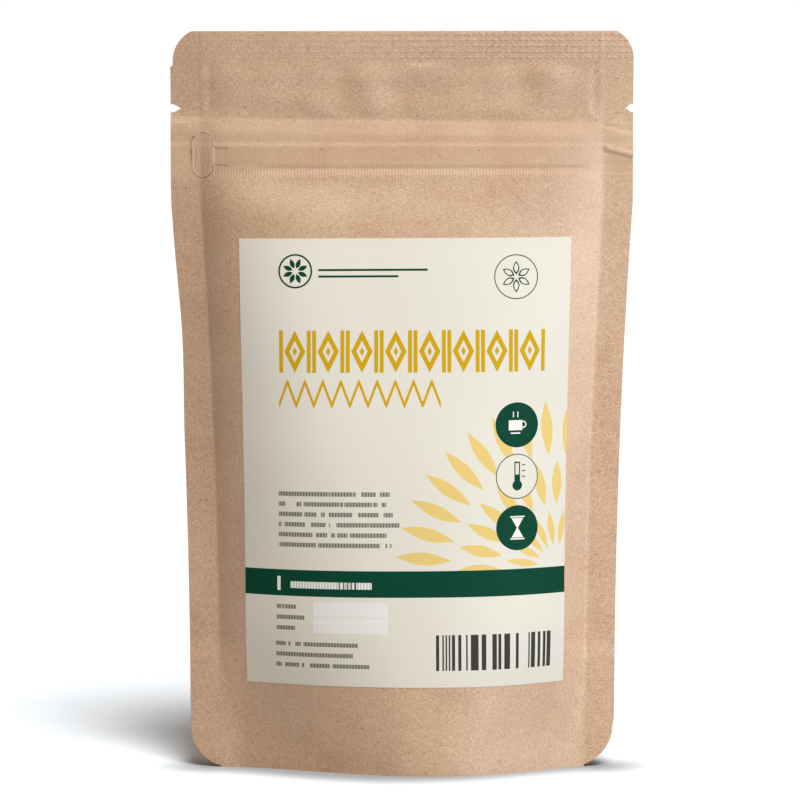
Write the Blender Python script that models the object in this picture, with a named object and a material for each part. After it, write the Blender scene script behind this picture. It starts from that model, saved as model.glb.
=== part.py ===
"""A sealed and filled stand-up pouch of kraft laminate, with a paper label on its front.

The pouch stands on z = 0 with its front towards -Y. Both panels are thin sheets that lie flat
against each other at the sides and the top, and stand out from the seal plane, y = 0, between.
"""

import math
import random

import bmesh
import bpy

# Outline of the standing pouch, in metres
HEIGHT = 0.208
FLAT_HALF = 0.065
BASE_HALF = 0.060
FLAT_FROM = 0.160
NARROWING = 2.2
FOOT_RADIUS = 0.0095
HEAD_RADIUS = 0.0095
HEAD_TRIM = 0.0009

# How far the panels stand out over the fill
BULGE = 0.0203
BULGE_TOP = 0.192
BULGE_RISE = 2.6
BULGE_ROUND = 1.35
FOOT_POWER = 2.0
ROUND_POWER = 2.5
ROUND_TO = 0.130
FLAT_POWER = 6
FLAT_POWER_FROM = 0.165
FOOT_TAPER = 1.5
TAPER_TO = 0.045
HEADER_PUFF = 0.0008
HEADER_FROM = 0.184
HEADER_EASE = 0.006
SIDE_SEAL = 0.0085
TOP_SEAL = 0.008

# Sheets, and the clearance kept between any two pieces
PANEL = 0.0004
LEAF = 0.0003
FLANGE = 0.0004
LABEL = 0.0003
GAP = 0.0003

# Bottom gusset: its folded height, its crest in the middle and the curved seal along the foot
GUSSET_FOLD = 0.030
GUSSET_CREST = 0.014
FOOT_SEAL = 0.004
FOOT_SEAL_SIDE = 0.027
GUSSET_STEP_FOOT = 0.031
GUSSET_STEP_HEAD = 0.035
GUSSET_STEP_FROM = 0.85

# Zip behind the front panel, by height above the floor
ZIP_LOW = 0.1668
ZIP_HIGH = 0.1835
ZIP_MARGIN = 0.0004
ZIP_STEP = 0.0015
GROOVE_FLANGE_TOP = 0.1740
RIB_FLANGE_FOOT = 0.1744
RIB_HEIGHT = 0.1756

# Grip tab and tear notches, cut through the laminate
TAB_X = -0.0560
TAB_RADIUS = 0.00305
TAB_TOP = 0.1797
TAB_FOOT = 0.1670
STRIP_TOP = 0.1753
STRIP_FOOT = 0.1706
STRIP_END = -0.0488
STRIP_FILLET = 0.0010
STRIP_DROP = 0.0002
TAB_BRIDGE = (136, 102)
CUT_WIDTH = 0.00035
NOTCH_HEIGHT = 0.1864
NOTCH_MOUTH = 0.0023
NOTCH_STRAIGHT = 0.0008
NOTCH_DEPTH_LEFT = 0.0029
NOTCH_DEPTH_RIGHT = 0.0020

# Label
LABEL_WIDTH = 0.094
LABEL_TOP = 0.1502
LABEL_FOOT = 0.0250
LABEL_SHIFT = 0.0010
LABEL_TILT = math.radians(0.15)

# Fill
FILL_TOP = 0.118
FILL_HEAP = 0.006
FILL_CLEARANCE = 0.0012
FILL_LUMP = 0.0009
FILL_REACH = 0.88
FILL_ROUND = 0.45

# Columns of the sheets, counted from the middle: between the seals, then over a side seal
INNER = 10
OUTER = 2
COLUMNS = INNER + OUTER
ZIP_COLUMNS = 6
LEG_ROWS = 2
ARCH_ROWS = 6


def smooth(low, high, value):
    """0 below low, 1 above high, and a smooth step between."""
    t = min(1.0, max(0.0, (value - low) / (high - low)))
    return t * t * (3 - 2 * t)


def steps(start, end, count):
    """The values that divide start to end into count equal steps, without start."""
    return [start + (end - start) * k / count for k in range(1, count + 1)]


# Form of the pouch

def edge_half(z):
    """Half the width at a height: the fill draws the foot in."""
    return BASE_HALF + (FLAT_HALF - BASE_HALF) * min(1.0, z / FLAT_FROM) ** NARROWING


def outline_half(z):
    """Half the width at a height, with the round corners at the foot and the head."""
    half = edge_half(z)
    if z < FOOT_RADIUS:
        half -= FOOT_RADIUS - math.sqrt(FOOT_RADIUS ** 2 - (FOOT_RADIUS - z) ** 2)
    over = z - head_centre()
    if over > 0:
        half -= HEAD_RADIUS - math.sqrt(HEAD_RADIUS ** 2 - over ** 2)
    return half


def head_centre():
    """The height of the head corners' centres: the straight top edge trims the corners."""
    return HEIGHT + HEAD_TRIM - HEAD_RADIUS


def bulge(x, z):
    """How far each panel stands out from the flat, from 0 at the seals."""
    across = min(1.0, abs(x) / (edge_half(z) - SIDE_SEAL))
    power = FOOT_POWER + (ROUND_POWER - FOOT_POWER) * smooth(0, TAPER_TO, z)
    power += (FLAT_POWER - ROUND_POWER) * smooth(ROUND_TO, FLAT_POWER_FROM, z)
    taper = FOOT_TAPER + (1 - FOOT_TAPER) * smooth(0, TAPER_TO, z)
    filled = BULGE * max(0.0, 1 - (z / BULGE_TOP) ** BULGE_RISE) ** BULGE_ROUND
    seal_foot = HEIGHT - TOP_SEAL
    puffed = smooth(HEADER_FROM, HEADER_FROM + HEADER_EASE, z)
    puffed *= HEADER_PUFF * (1 - smooth(seal_foot - HEADER_EASE, seal_foot, z))
    return (filled + puffed) * (1 - across ** power) ** taper


def gusset_between(x, z):
    """1 where the folded gusset lies in the side seals, 0 above it and over the fill."""
    across = abs(x) / (edge_half(z) - SIDE_SEAL)
    return smooth(GUSSET_STEP_FROM, 1.0, across) * (1 - smooth(GUSSET_STEP_FOOT, GUSSET_STEP_HEAD, z))


def zip_between(z):
    """1 where the zip's flange lies in the side seals, 0 above and below it."""
    low, high = ZIP_LOW - ZIP_MARGIN, ZIP_HIGH + ZIP_MARGIN
    return smooth(low - ZIP_STEP, low, z) * (1 - smooth(high, high + ZIP_STEP, z))


def front_inside(x, z):
    """y of the front panel's inner face."""
    layers = zip_between(z) * (GAP + FLANGE) + gusset_between(x, z) * (GAP + LEAF)
    return -(GAP / 2 + layers + bulge(x, z))


def back_inside(x, z):
    """y of the back panel's inner face."""
    return GAP / 2 + gusset_between(x, z) * (GAP + LEAF) + bulge(x, z)


def column_part(i):
    """How far column i lies from the middle, as a part of the way to the side seal."""
    return math.sin(math.pi / 2 * min(1.0, abs(i) / INNER))


def column_x(i, z):
    """x of column i at a height: closer together towards the side seal, then across it."""
    span = edge_half(z) - SIDE_SEAL
    over = max(0, abs(i) - INNER) / OUTER
    return math.copysign(span * column_part(i) + (outline_half(z) - span) * over, i)


def panel_rows():
    """The heights of the panels' rows, closer together at the corners and the zip's steps."""
    low, high = ZIP_LOW - ZIP_MARGIN, ZIP_HIGH + ZIP_MARGIN
    rows = [0] + [FOOT_RADIUS * (1 - math.cos(a)) for a in steps(0, math.pi / 2, 5)]
    rows += steps(FOOT_RADIUS, GUSSET_STEP_FOOT, 4)
    rows += [GUSSET_STEP_HEAD]
    rows += steps(GUSSET_STEP_HEAD, FLAT_FROM, 12)
    rows += [low - ZIP_STEP, low]
    rows += steps(low, high, 3)
    rows += [high + ZIP_STEP]
    rows += steps(high + ZIP_STEP, head_centre(), 3)
    top = math.asin((HEIGHT - head_centre()) / HEAD_RADIUS)
    rows += [head_centre() + HEAD_RADIUS * math.sin(a) for a in steps(0, top, 4)]
    return rows


# Making solids

def material(name, color, roughness):
    """A Principled material of one colour."""
    made = bpy.data.materials.new(name)
    made.use_nodes = True
    shader = made.node_tree.nodes["Principled BSDF"]
    shader.inputs["Base Color"].default_value = (*color, 1)
    shader.inputs["Roughness"].default_value = roughness
    shader.inputs["Metallic"].default_value = 0
    return made


def finish(bm, name, finish_material):
    """Turn the faces outwards and make the object."""
    bmesh.ops.recalc_face_normals(bm, faces=bm.faces[:])
    mesh = bpy.data.meshes.new(name)
    bm.to_mesh(mesh)
    bm.free()
    mesh.materials.append(finish_material)
    made = bpy.data.objects.new(name, mesh)
    bpy.context.scene.collection.objects.link(made)
    return made


def sheet(name, columns, rows, place, finish_material):
    """A thin closed sheet: a grid of triangles, extruded once, each corner put by place(i, j, side)."""
    bm = bmesh.new()
    bmesh.ops.create_grid(bm, x_segments=columns, y_segments=rows, size=1)
    bmesh.ops.triangulate(bm, faces=bm.faces[:])
    raised = bmesh.ops.extrude_face_region(bm, geom=bm.faces[:])["geom"]
    for vert in raised:
        if isinstance(vert, bmesh.types.BMVert):
            vert.co.z = 1
    for vert in bm.verts:
        i = round((vert.co.x + 1) / 2 * columns)
        j = round((vert.co.y + 1) / 2 * rows)
        vert.co = place(i, j, round(vert.co.z))
    return finish(bm, name, finish_material)


def run(name, section, stations, place, finish_material):
    """A section of (a, b) points extruded station by station, each corner put by place(k, a, b)."""
    bm = bmesh.new()
    face = bm.faces.new([bm.verts.new((0, a, b)) for a, b in section])
    for k in range(1, stations):
        grown = bmesh.ops.extrude_face_region(bm, geom=[face, *face.edges, *face.verts])["geom"]
        face = next(item for item in grown if isinstance(item, bmesh.types.BMFace))
        for vert in face.verts:
            vert.co.x = k
    for vert in bm.verts:
        vert.co = place(round(vert.co.x), vert.co.y, vert.co.z)
    return finish(bm, name, finish_material)


def as_tool(tool):
    """Mark an object as one that only cuts or joins another."""
    tool.hide_render = True
    tool.display_type = "WIRE"


def combine(target, tool, operation):
    """Cut a tool from a piece, or join it to the piece."""
    as_tool(tool)
    boolean = target.modifiers.new(tool.name, "BOOLEAN")
    boolean.object = tool
    boolean.operation = operation
    boolean.solver = "EXACT"


# Front and back panels

def panel(name, inside, outward, finish_material):
    """One laminate sheet, its inner face given and its outer face a sheet's thickness beyond."""
    rows = panel_rows()

    def place(i, j, side):
        z = rows[j]
        x = column_x(i - COLUMNS, z)
        return x, inside(x, z) + outward * PANEL * side, z

    return sheet(name, 2 * COLUMNS, len(rows) - 1, place, finish_material)


def arc(x, z, radius, start, end, count):
    """Points along an arc, with its angles in degrees from +X."""
    angles = [math.radians(start + (end - start) * k / count) for k in range(count + 1)]
    return [(x + radius * math.cos(a), z + radius * math.sin(a)) for a in angles]


def ribbon(path):
    """The outline of a narrow cut that follows a path."""
    left, right = [], []
    for k, (x, z) in enumerate(path):
        before = path[max(0, k - 1)]
        after = path[min(len(path) - 1, k + 1)]
        run_x, run_z = after[0] - before[0], after[1] - before[1]
        scale = CUT_WIDTH / 2 / math.hypot(run_x, run_z)
        left.append((x - run_z * scale, z + run_x * scale))
        right.append((x + run_z * scale, z - run_x * scale))
    return left + right[::-1]


def cutter(name, outline, finish_material):
    """An outline in x and z, extruded through both panels."""
    reach = (-0.012, 0.012)
    return run(name, outline, 2, lambda k, a, b: (a, reach[k], b), finish_material)


def tab_cuts():
    """The two cuts round the grip tab: they stop short of each other at the tab's top left."""
    low, high = TAB_FOOT + TAB_RADIUS, TAB_TOP - TAB_RADIUS
    right = TAB_X + TAB_RADIUS
    start, restart = TAB_BRIDGE
    outer = arc(TAB_X, high, TAB_RADIUS, start, 180, 4)
    outer += arc(TAB_X, low, TAB_RADIUS, 180, 360, 12)
    outer += [(right + STRIP_DROP, STRIP_FOOT), (STRIP_END, STRIP_FOOT - STRIP_DROP)]
    inner = arc(TAB_X, high, TAB_RADIUS, restart, 0, 7)
    inner += arc(right + STRIP_FILLET, STRIP_TOP + STRIP_FILLET, STRIP_FILLET, 180, 270, 4)
    inner += [(STRIP_END, STRIP_TOP)]
    return {"grip_cut_outer": ribbon(outer), "grip_cut_inner": ribbon(inner)}


def notch_cuts():
    """A tear notch on each side: a short straight mouth, then a V."""
    cuts = {}
    for name, side, depth in (("left", -1, NOTCH_DEPTH_LEFT), ("right", 1, NOTCH_DEPTH_RIGHT)):
        half = NOTCH_MOUTH / 2
        stops = [(FLAT_HALF + 0.002, half), (FLAT_HALF - NOTCH_STRAIGHT, half)]
        outline = [(side * x, NOTCH_HEIGHT + h) for x, h in stops]
        outline += [(side * (FLAT_HALF - depth), NOTCH_HEIGHT)]
        outline += [(side * x, NOTCH_HEIGHT - h) for x, h in reversed(stops)]
        cuts["notch_" + name] = outline
    return cuts


def panels(kraft):
    """Front and back panels, with the grip tab's cuts in the front one and the notches in both."""
    front = panel("front_panel", front_inside, -1, kraft)
    back = panel("back_panel", back_inside, 1, kraft)
    for name, outline in tab_cuts().items():
        combine(front, cutter(name, outline, kraft), "DIFFERENCE")
    for name, outline in notch_cuts().items():
        notch = cutter(name, outline, kraft)
        combine(front, notch, "DIFFERENCE")
        combine(back, notch, "DIFFERENCE")


# Bottom gusset

def gusset_heights(part):
    """Where the foot seal ends and where the arch over it peaks, some part of the way to the side."""
    seal = FOOT_SEAL + (FOOT_SEAL_SIDE - FOOT_SEAL) * (1 - math.sqrt(1 - part ** 2))
    return seal, GUSSET_CREST + (GUSSET_FOLD - GUSSET_CREST) * part ** 2


def gusset_point(i, j, side):
    """A corner of the gusset: up a leg along the panel, over the arch and down the other leg."""
    seal, crest = gusset_heights(column_part(i))
    lean = -1 if j < 0 else 1
    if abs(j) >= ARCH_ROWS:
        z = seal * (ARCH_ROWS + LEG_ROWS - abs(j)) / LEG_ROWS
        x = column_x(i, z)
        return x, lean * leaf_depth(x, z, side), z
    angle = math.pi / 2 * j / ARCH_ROWS
    half = leaf_depth(column_x(i, seal), seal, side)
    z = seal + (crest - LEAF * side - seal) * math.cos(angle)
    return column_x(i, z), half * math.sin(angle), z


def leaf_depth(x, z, side):
    """How far a face of the gusset's leg stands from the seal plane, behind the panel."""
    return back_inside(x, z) - GAP - LEAF * side


def gusset(kraft):
    """The folded sheet that makes the foot."""
    rows = ARCH_ROWS + LEG_ROWS
    return sheet(
        "bottom_gusset", 2 * COLUMNS, 2 * rows,
        lambda i, j, side: gusset_point(i - COLUMNS, j - rows, side), kraft)


# Zip strips

def behind_front(x, z, depth):
    """A point of the zip, by its depth behind the front panel's inner face."""
    return x, front_inside(x, z) + depth, z


def flange(name, low, high, plastic):
    """A flat strip welded behind the front panel, from side seal to side seal."""
    rows = 2

    def place(i, j, side):
        z = low + (high - low) * j / rows
        return behind_front(column_x(i - COLUMNS, z), z, GAP + FLANGE * side)

    return sheet(name, 2 * COLUMNS, rows, place, plastic)


def profile(name, section, plastic):
    """The rib or groove of a zip strip, between the stretches crushed in the side seals."""

    def place(k, z, depth):
        return behind_front(column_x(k - ZIP_COLUMNS, z), z, depth)

    return run(name, section, 2 * ZIP_COLUMNS + 1, place, plastic)


def zip_strips(plastic):
    """The rib strip above and the groove strip below, with the rib's head in the groove."""
    root = GAP + FLANGE / 2
    stem, head = 0.00025, 0.00085
    under, over = 0.0018, 0.00225
    rib = [(-stem, root), (-stem, under), (-head, under), (-head, over),
           (head, over), (head, under), (stem, under), (stem, root)]
    upper = flange("zip_rib_strip", RIB_FLANGE_FOOT, ZIP_HIGH, plastic)
    section = [(RIB_HEIGHT + rise, depth) for rise, depth in rib]
    combine(upper, profile("zip_rib", section, plastic), "UNION")

    mouth, inner, outer = 0.00065, 0.0016, 0.0020
    lip, lip_back, floor, back = 0.0011, 0.00145, 0.0026, 0.0030
    groove = [(-outer, root), (-inner, root), (-inner, lip), (-mouth, lip), (-mouth, lip_back),
              (-inner, lip_back), (-inner, floor), (inner, floor), (inner, lip_back),
              (mouth, lip_back), (mouth, lip), (outer, lip), (outer, back), (-outer, back)]
    lower = flange("zip_groove_strip", ZIP_LOW, GROOVE_FLANGE_TOP, plastic)
    section = [(RIB_HEIGHT + rise, depth) for rise, depth in groove]
    combine(lower, profile("zip_groove", section, plastic), "UNION")


# Label

def along_panel(distance, z):
    """x at a distance from the middle, measured along the panel's curved face."""
    count = 24
    step = abs(distance) / count
    x = 0
    for _ in range(count):
        slope = (bulge(x + step, z) - bulge(x, z)) / step
        x += step / math.hypot(1, slope)
    return math.copysign(x, distance)


def label(paper):
    """The paper rectangle on the front panel, stuck on a little askew."""
    columns, rows = 14, 12
    middle = (LABEL_TOP + LABEL_FOOT) / 2

    def place(i, j, side):
        across = LABEL_WIDTH * (i / columns - 0.5)
        up = (LABEL_TOP - LABEL_FOOT) * (j / rows - 0.5)
        z = middle + up * math.cos(LABEL_TILT) + across * math.sin(LABEL_TILT)
        x = along_panel(LABEL_SHIFT + across - up * math.sin(LABEL_TILT), z)
        return x, front_inside(x, z) - PANEL - GAP - LABEL * side, z

    return sheet("label", columns, rows, place, paper)


# Fill

def fill(ginger):
    """The heap of small cut pieces that fills the pouch, as one lumpy solid clear of the sheets."""
    sides, stations, seed = 24, 15, 7
    draw = random.Random(seed)
    lumps = {}

    def lump(k, a, b):
        key = (k, round(a, 4), round(b, 4))
        if key not in lumps:
            lumps[key] = draw.uniform(0, FILL_LUMP)
        return lumps[key]

    def place(k, a, b):
        part = FILL_REACH * math.sin(math.pi / 2 * (2 * k / (stations - 1) - 1))
        seal, crest = gusset_heights(part)
        top = FILL_TOP + FILL_HEAP * (1 - part ** 2)
        around = math.atan2(a, b)
        share = (1 - math.cos(around)) / 2
        low = seal + (crest - seal) * math.sqrt(max(0.0, 1 - a * a)) + FILL_CLEARANCE
        z = low + (top - low) * share - lump(k, a, b) * share
        x = (edge_half(z) - SIDE_SEAL) * part
        wall = back_inside(x, z) - FILL_CLEARANCE - LEAF - 2 * GAP - lump(k, a, b)
        return x, math.copysign(wall * abs(a) ** FILL_ROUND, a), z

    ring = [(math.sin(t), math.cos(t)) for t in steps(0, 2 * math.pi, sides)]
    return run("ginger_fill", ring, stations, place, ginger)


for leftover in list(bpy.data.objects):
    bpy.data.objects.remove(leftover, do_unlink=True)

KRAFT = material("kraft laminate", (0.58, 0.38, 0.23), 0.80)
PAPER = material("label paper", (0.84, 0.81, 0.71), 0.60)
PLASTIC = material("zip polyethylene", (0.80, 0.80, 0.78), 0.35)
GINGER = material("dried ginger", (0.60, 0.42, 0.20), 0.85)

panels(KRAFT)
gusset(KRAFT)
zip_strips(PLASTIC)
label(PAPER)
fill(GINGER)
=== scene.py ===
import math
import random

import bmesh
import bpy
import numpy as np
from mathutils import Matrix, Vector


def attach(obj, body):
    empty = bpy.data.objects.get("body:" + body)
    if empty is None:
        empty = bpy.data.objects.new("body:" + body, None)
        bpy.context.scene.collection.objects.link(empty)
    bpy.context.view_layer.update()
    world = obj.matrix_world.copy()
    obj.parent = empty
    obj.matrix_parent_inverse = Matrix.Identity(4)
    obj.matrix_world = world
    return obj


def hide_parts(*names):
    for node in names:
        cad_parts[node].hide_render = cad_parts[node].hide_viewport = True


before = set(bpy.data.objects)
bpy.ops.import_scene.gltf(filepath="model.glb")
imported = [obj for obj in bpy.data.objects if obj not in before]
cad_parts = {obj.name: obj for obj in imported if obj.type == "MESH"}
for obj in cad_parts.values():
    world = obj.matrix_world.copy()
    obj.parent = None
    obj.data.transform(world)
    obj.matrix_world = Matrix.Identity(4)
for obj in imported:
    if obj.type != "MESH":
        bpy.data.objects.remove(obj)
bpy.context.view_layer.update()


# Front panel: one sheet of kraft paper laminated to a sealing film. It is welded to the back
# panel down both sides and along the top, and bellies out over the fill in between. The zip
# behind it prints through as a band, and the grip tab is cut through the band's left end.

HEIGHT = 0.208
FLAT_HALF = 0.065
BASE_HALF = 0.060
FLAT_FROM = 0.160
NARROWING = 2.2
FOOT_RADIUS_LEFT = 0.0115
FOOT_RADIUS_RIGHT = 0.0120
HEAD_RADIUS_LEFT = 0.0093
HEAD_RADIUS_RIGHT = 0.0086
HEAD_TRIM = 0.0009
HEAD_STEP = 0.0007
FOOT_STEP = 0.0004
DRAWN_IN = 0.0007
SIDE_SEAL = 0.0085
TOP_SEAL = 0.008
SEAL_ROWS = (0.2071, 0.2055, 0.2038, 0.2023, 0.2007)
SEAL_ROW_REACH = 0.0007
SEAL_ROW_DEPTH = 0.00010
PANEL = 0.0004
GAP = 0.0003
LEAF = 0.0003
GUSSET_STEP_FOOT = 0.031
GUSSET_STEP_HEAD = 0.035
GUSSET_STEP_FROM = 0.85

BULGE = 0.0203
BULGE_TOP = 0.192
BULGE_RISE = 2.6
BULGE_ROUND = 1.35
FOOT_POWER = 2.0
FOOT_TAPER = 1.5
SETTLED = 0.16
SETTLED_TO = 0.070
TAPER_TO = 0.045
ROUND_POWER = 2.5
ROUND_TO = 0.095
FLAT_POWER = 3.6
BAND_POWER = 5.5
SHOULDER = 0.0022
FULLER = 0.0015
FLAT_POWER_FROM = 0.135
HEADER_PUFF = 0.0008
HEADER_FROM = 0.1832
HEADER_EASE = 0.006
HEADER_LEAN = 0.0008
SEAL_LEAN_LEFT = 0.30
SEAL_LEAN_RIGHT = 0.0
LEAN_EASE = 0.0012
UPPER_LEAN_EASE = 0.014
UPPER_LEAN_INSET = 0.011
HEAD_NOD = 0.0035

NOTCH_HEIGHT = 0.1864
NOTCH_MOUTH = 0.0023
NOTCH_STRAIGHT = 0.0008
NOTCH_DEPTH_LEFT = 0.0029
NOTCH_DEPTH_RIGHT = 0.0020

TAB_X = -0.0560
TAB_RADIUS = 0.00305
TAB_TOP = 0.1797
TAB_FOOT = 0.1670
TAB_LOW_CENTRE = TAB_FOOT + TAB_RADIUS
TAB_HIGH_CENTRE = TAB_TOP - TAB_RADIUS


def smooth(low, high, value):
    """0 below low, 1 above high, and a smooth step between."""
    t = np.clip((value - low) / (high - low), 0, 1)
    return t * t * (3 - 2 * t)


def hump(middle, reach, value):
    """1 at the middle, falling smoothly to 0 at the reach on either side."""
    return 1 - smooth(0, reach, np.abs(value - middle))


def edge_half(z):
    """Half the width of the pouch at a height: the fill draws the foot in."""
    return BASE_HALF + (FLAT_HALF - BASE_HALF) * np.clip(z / FLAT_FROM, 0, 1) ** NARROWING


def outline_half(z, side):
    """Half the width on one side, with the round corners, the tear notch and the punch's steps."""
    half = edge_half(z)
    foot = np.where(side < 0, FOOT_RADIUS_LEFT, FOOT_RADIUS_RIGHT)
    half = half - foot + np.sqrt(foot ** 2 - np.clip(foot - z, 0, foot) ** 2)
    head = np.where(side < 0, HEAD_RADIUS_LEFT, HEAD_RADIUS_RIGHT)
    over = np.clip(z - (HEIGHT + HEAD_TRIM - head), 0, head)
    half = half - head + np.sqrt(head ** 2 - over ** 2)
    depth = np.where(side < 0, NOTCH_DEPTH_LEFT, NOTCH_DEPTH_RIGHT)
    away = np.abs(z - NOTCH_HEIGHT) / (NOTCH_MOUTH / 2)
    notched = FLAT_HALF - NOTCH_STRAIGHT - (depth - NOTCH_STRAIGHT) * (1 - away)
    half = np.where(away < 1, notched, half)
    head_step = HEAD_STEP * smooth(0.1981, 0.1985, z) * (side < 0)
    foot_step = FOOT_STEP * (1 - smooth(0.0133, 0.0137, z)) * (side > 0)
    drawn_in = DRAWN_IN * hump(0.122, 0.030, z) * (side < 0)
    return half - head_step - foot_step - drawn_in


def bulge(x, z):
    """How far each panel stands out from the flat over the fill, which has settled to the right."""
    span = edge_half(z) - SIDE_SEAL
    part = np.clip(x / span, -1, 1)
    across = np.abs(part - SETTLED * (1 - smooth(0, SETTLED_TO, z)) * (1 - part ** 2))
    power = FOOT_POWER + (ROUND_POWER - FOOT_POWER) * smooth(0, TAPER_TO, z)
    power = power + (FLAT_POWER - ROUND_POWER) * smooth(ROUND_TO, FLAT_POWER_FROM, z)
    power = power + (BAND_POWER - FLAT_POWER) * smooth(0.150, 0.174, z)
    taper = FOOT_TAPER + (1 - FOOT_TAPER) * smooth(0, TAPER_TO, z)
    filled = BULGE * np.clip(1 - (z / BULGE_TOP) ** BULGE_RISE, 0, 1) ** BULGE_ROUND
    seal_foot = HEIGHT - TOP_SEAL
    above = z + HEADER_LEAN * np.clip(x / FLAT_HALF, -1, 1) - HEADER_FROM
    puffed = 1 - (1 - np.clip(above / HEADER_EASE, 0, 1)) ** 2
    puffed = puffed * HEADER_PUFF * (1 - smooth(seal_foot - HEADER_EASE, seal_foot, z))
    within = 1 + part
    shoulder = SHOULDER * (1 - (1 - np.clip(within / 0.16, 0, 1)) ** 2) * (1 - smooth(0.2, 0.9, within))
    shoulder = shoulder * smooth(0.050, 0.100, z) * (1 - smooth(0.156, 0.170, z))
    fuller = FULLER * hump(-0.40, np.where(part < -0.40, 0.60, 1.1), part)
    fuller = fuller * smooth(0.105, 0.150, z) * (1 - smooth(0.155, 0.167, z))
    return (filled + puffed) * (1 - across ** power) ** taper + shoulder + fuller


def in_band(z):
    """1 over the zip, which holds the pouch flat, and 0 above and below it."""
    return smooth(0.162, 0.168, z) * (1 - smooth(0.181, 0.187, z))


def leant(x, z):
    """How far the pouch leans at a point: the side seals back, and the header above the zip forward."""
    upper = smooth(0.160, 0.172, z)
    past = np.clip(np.abs(x) - (edge_half(z) - SIDE_SEAL - UPPER_LEAN_INSET * upper), 0, None)
    ease = LEAN_EASE + UPPER_LEAN_EASE * upper
    bent = np.where(past < ease, past ** 2 / (2 * ease), past - ease / 2)
    left = SEAL_LEAN_LEFT * (0.45 + 0.55 * hump(0.105, 0.075, z)) * (1 - 0.9 * in_band(z))
    return np.where(x < 0, left, SEAL_LEAN_RIGHT) * bent - HEAD_NOD * smooth(0.180, 0.208, z)


def gusset_between(x, z):
    """1 where the folded gusset lies in the side seals, 0 above it and over the fill."""
    across = np.abs(x) / (edge_half(z) - SIDE_SEAL)
    in_seal = smooth(GUSSET_STEP_FROM, 1.0, across)
    return in_seal * (1 - smooth(GUSSET_STEP_FOOT, GUSSET_STEP_HEAD, z))


def swell(x, z, count, length, seed):
    """An irregular gentle swell, about -1 to 1, of waves of about one length."""
    draw = random.Random(seed)
    total = 0
    for _ in range(count):
        turn = draw.uniform(0, math.pi)
        size = length * draw.uniform(0.7, 1.5)
        shift = draw.uniform(0, 2 * math.pi)
        total = total + np.sin(2 * math.pi * (x * math.cos(turn) + z * math.sin(turn)) / size + shift)
    return total / math.sqrt(count)


# Heights and depths in millimetres of the band that the zip prints through the front panel
BAND = [
    (148.0, 0), (158.0, 0.24), (163.0, 0.46), (166.0, 0.66), (167.0, 0.76), (167.7, 0.77),
    (169.5, 0.18), (169.8, 0.20), (170.4, 0.68), (171.2, 0.74), (175.0, 1.06), (175.9, 1.16),
    (176.7, 0.82), (177.4, 0.90), (178.8, 1.00), (179.9, 0.84), (181.9, 0.40), (183.0, 0.06),
    (183.3, 0)]


def band(x, z):
    """How far the zip's flanges and profile push the front panel out."""
    heights = [height / 1000 for height, depth in BAND]
    depths = [depth / 1000 for height, depth in BAND]
    lean = HEADER_LEAN * np.clip(x / FLAT_HALF, -1, 1) * smooth(0.175, 0.181, z)
    ends = (smooth(0.034, 0.044, -x) + smooth(0.049, 0.055, x)) * (1 - smooth(0.171, 0.174, z))
    spread = 0.0003 + 0.0012 * ends
    blur = [np.interp(z + lean + shift * spread, heights, depths) for shift in (-1, -0.5, 0, 0.5, 1)]
    flattened = 1 - 0.20 * smooth(0.046, 0.058, np.abs(x))
    return sum(blur) / len(blur) * flattened


def in_tab(x, z):
    """1 inside the grip tab's capsule, 0 outside."""
    away = np.hypot(x - TAB_X, z - np.clip(z, TAB_LOW_CENTRE, TAB_HIGH_CENTRE))
    return 1 - smooth(TAB_RADIUS - 0.0003, TAB_RADIUS + 0.0001, away)


def fold(x, z, start, end, depth, reach):
    """A small ridge, or a crease where the depth is negative, along a line."""
    run_x, run_z = end[0] - start[0], end[1] - start[1]
    length = math.hypot(run_x, run_z)
    along = ((x - start[0]) * run_x + (z - start[1]) * run_z) / length
    aside = ((z - start[1]) * run_x - (x - start[0]) * run_z) / length
    ends = smooth(-0.0008, 0.0008, along) * (1 - smooth(length - 0.0008, length + 0.0008, along))
    return depth * ends * hump(0, reach, aside)


# Ridges and creases where the zip's ends are crushed: both ends as (x, z), depth and reach
CREASES = [
    ((0.0572, 0.1821), (0.0660, 0.1818), 0.00016, 0.0005),
    ((0.0565, 0.1816), (0.0660, 0.1796), -0.00024, 0.0008),
    ((0.0572, 0.1752), (0.0660, 0.1729), 0.00060, 0.0014),
    ((0.0565, 0.1741), (0.0660, 0.1722), -0.00020, 0.0006),
    ((0.0565, 0.1678), (0.0660, 0.1677), 0.00020, 0.0006),
    ((-0.0660, 0.1820), (-0.0604, 0.1822), 0.00016, 0.0005)]


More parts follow.
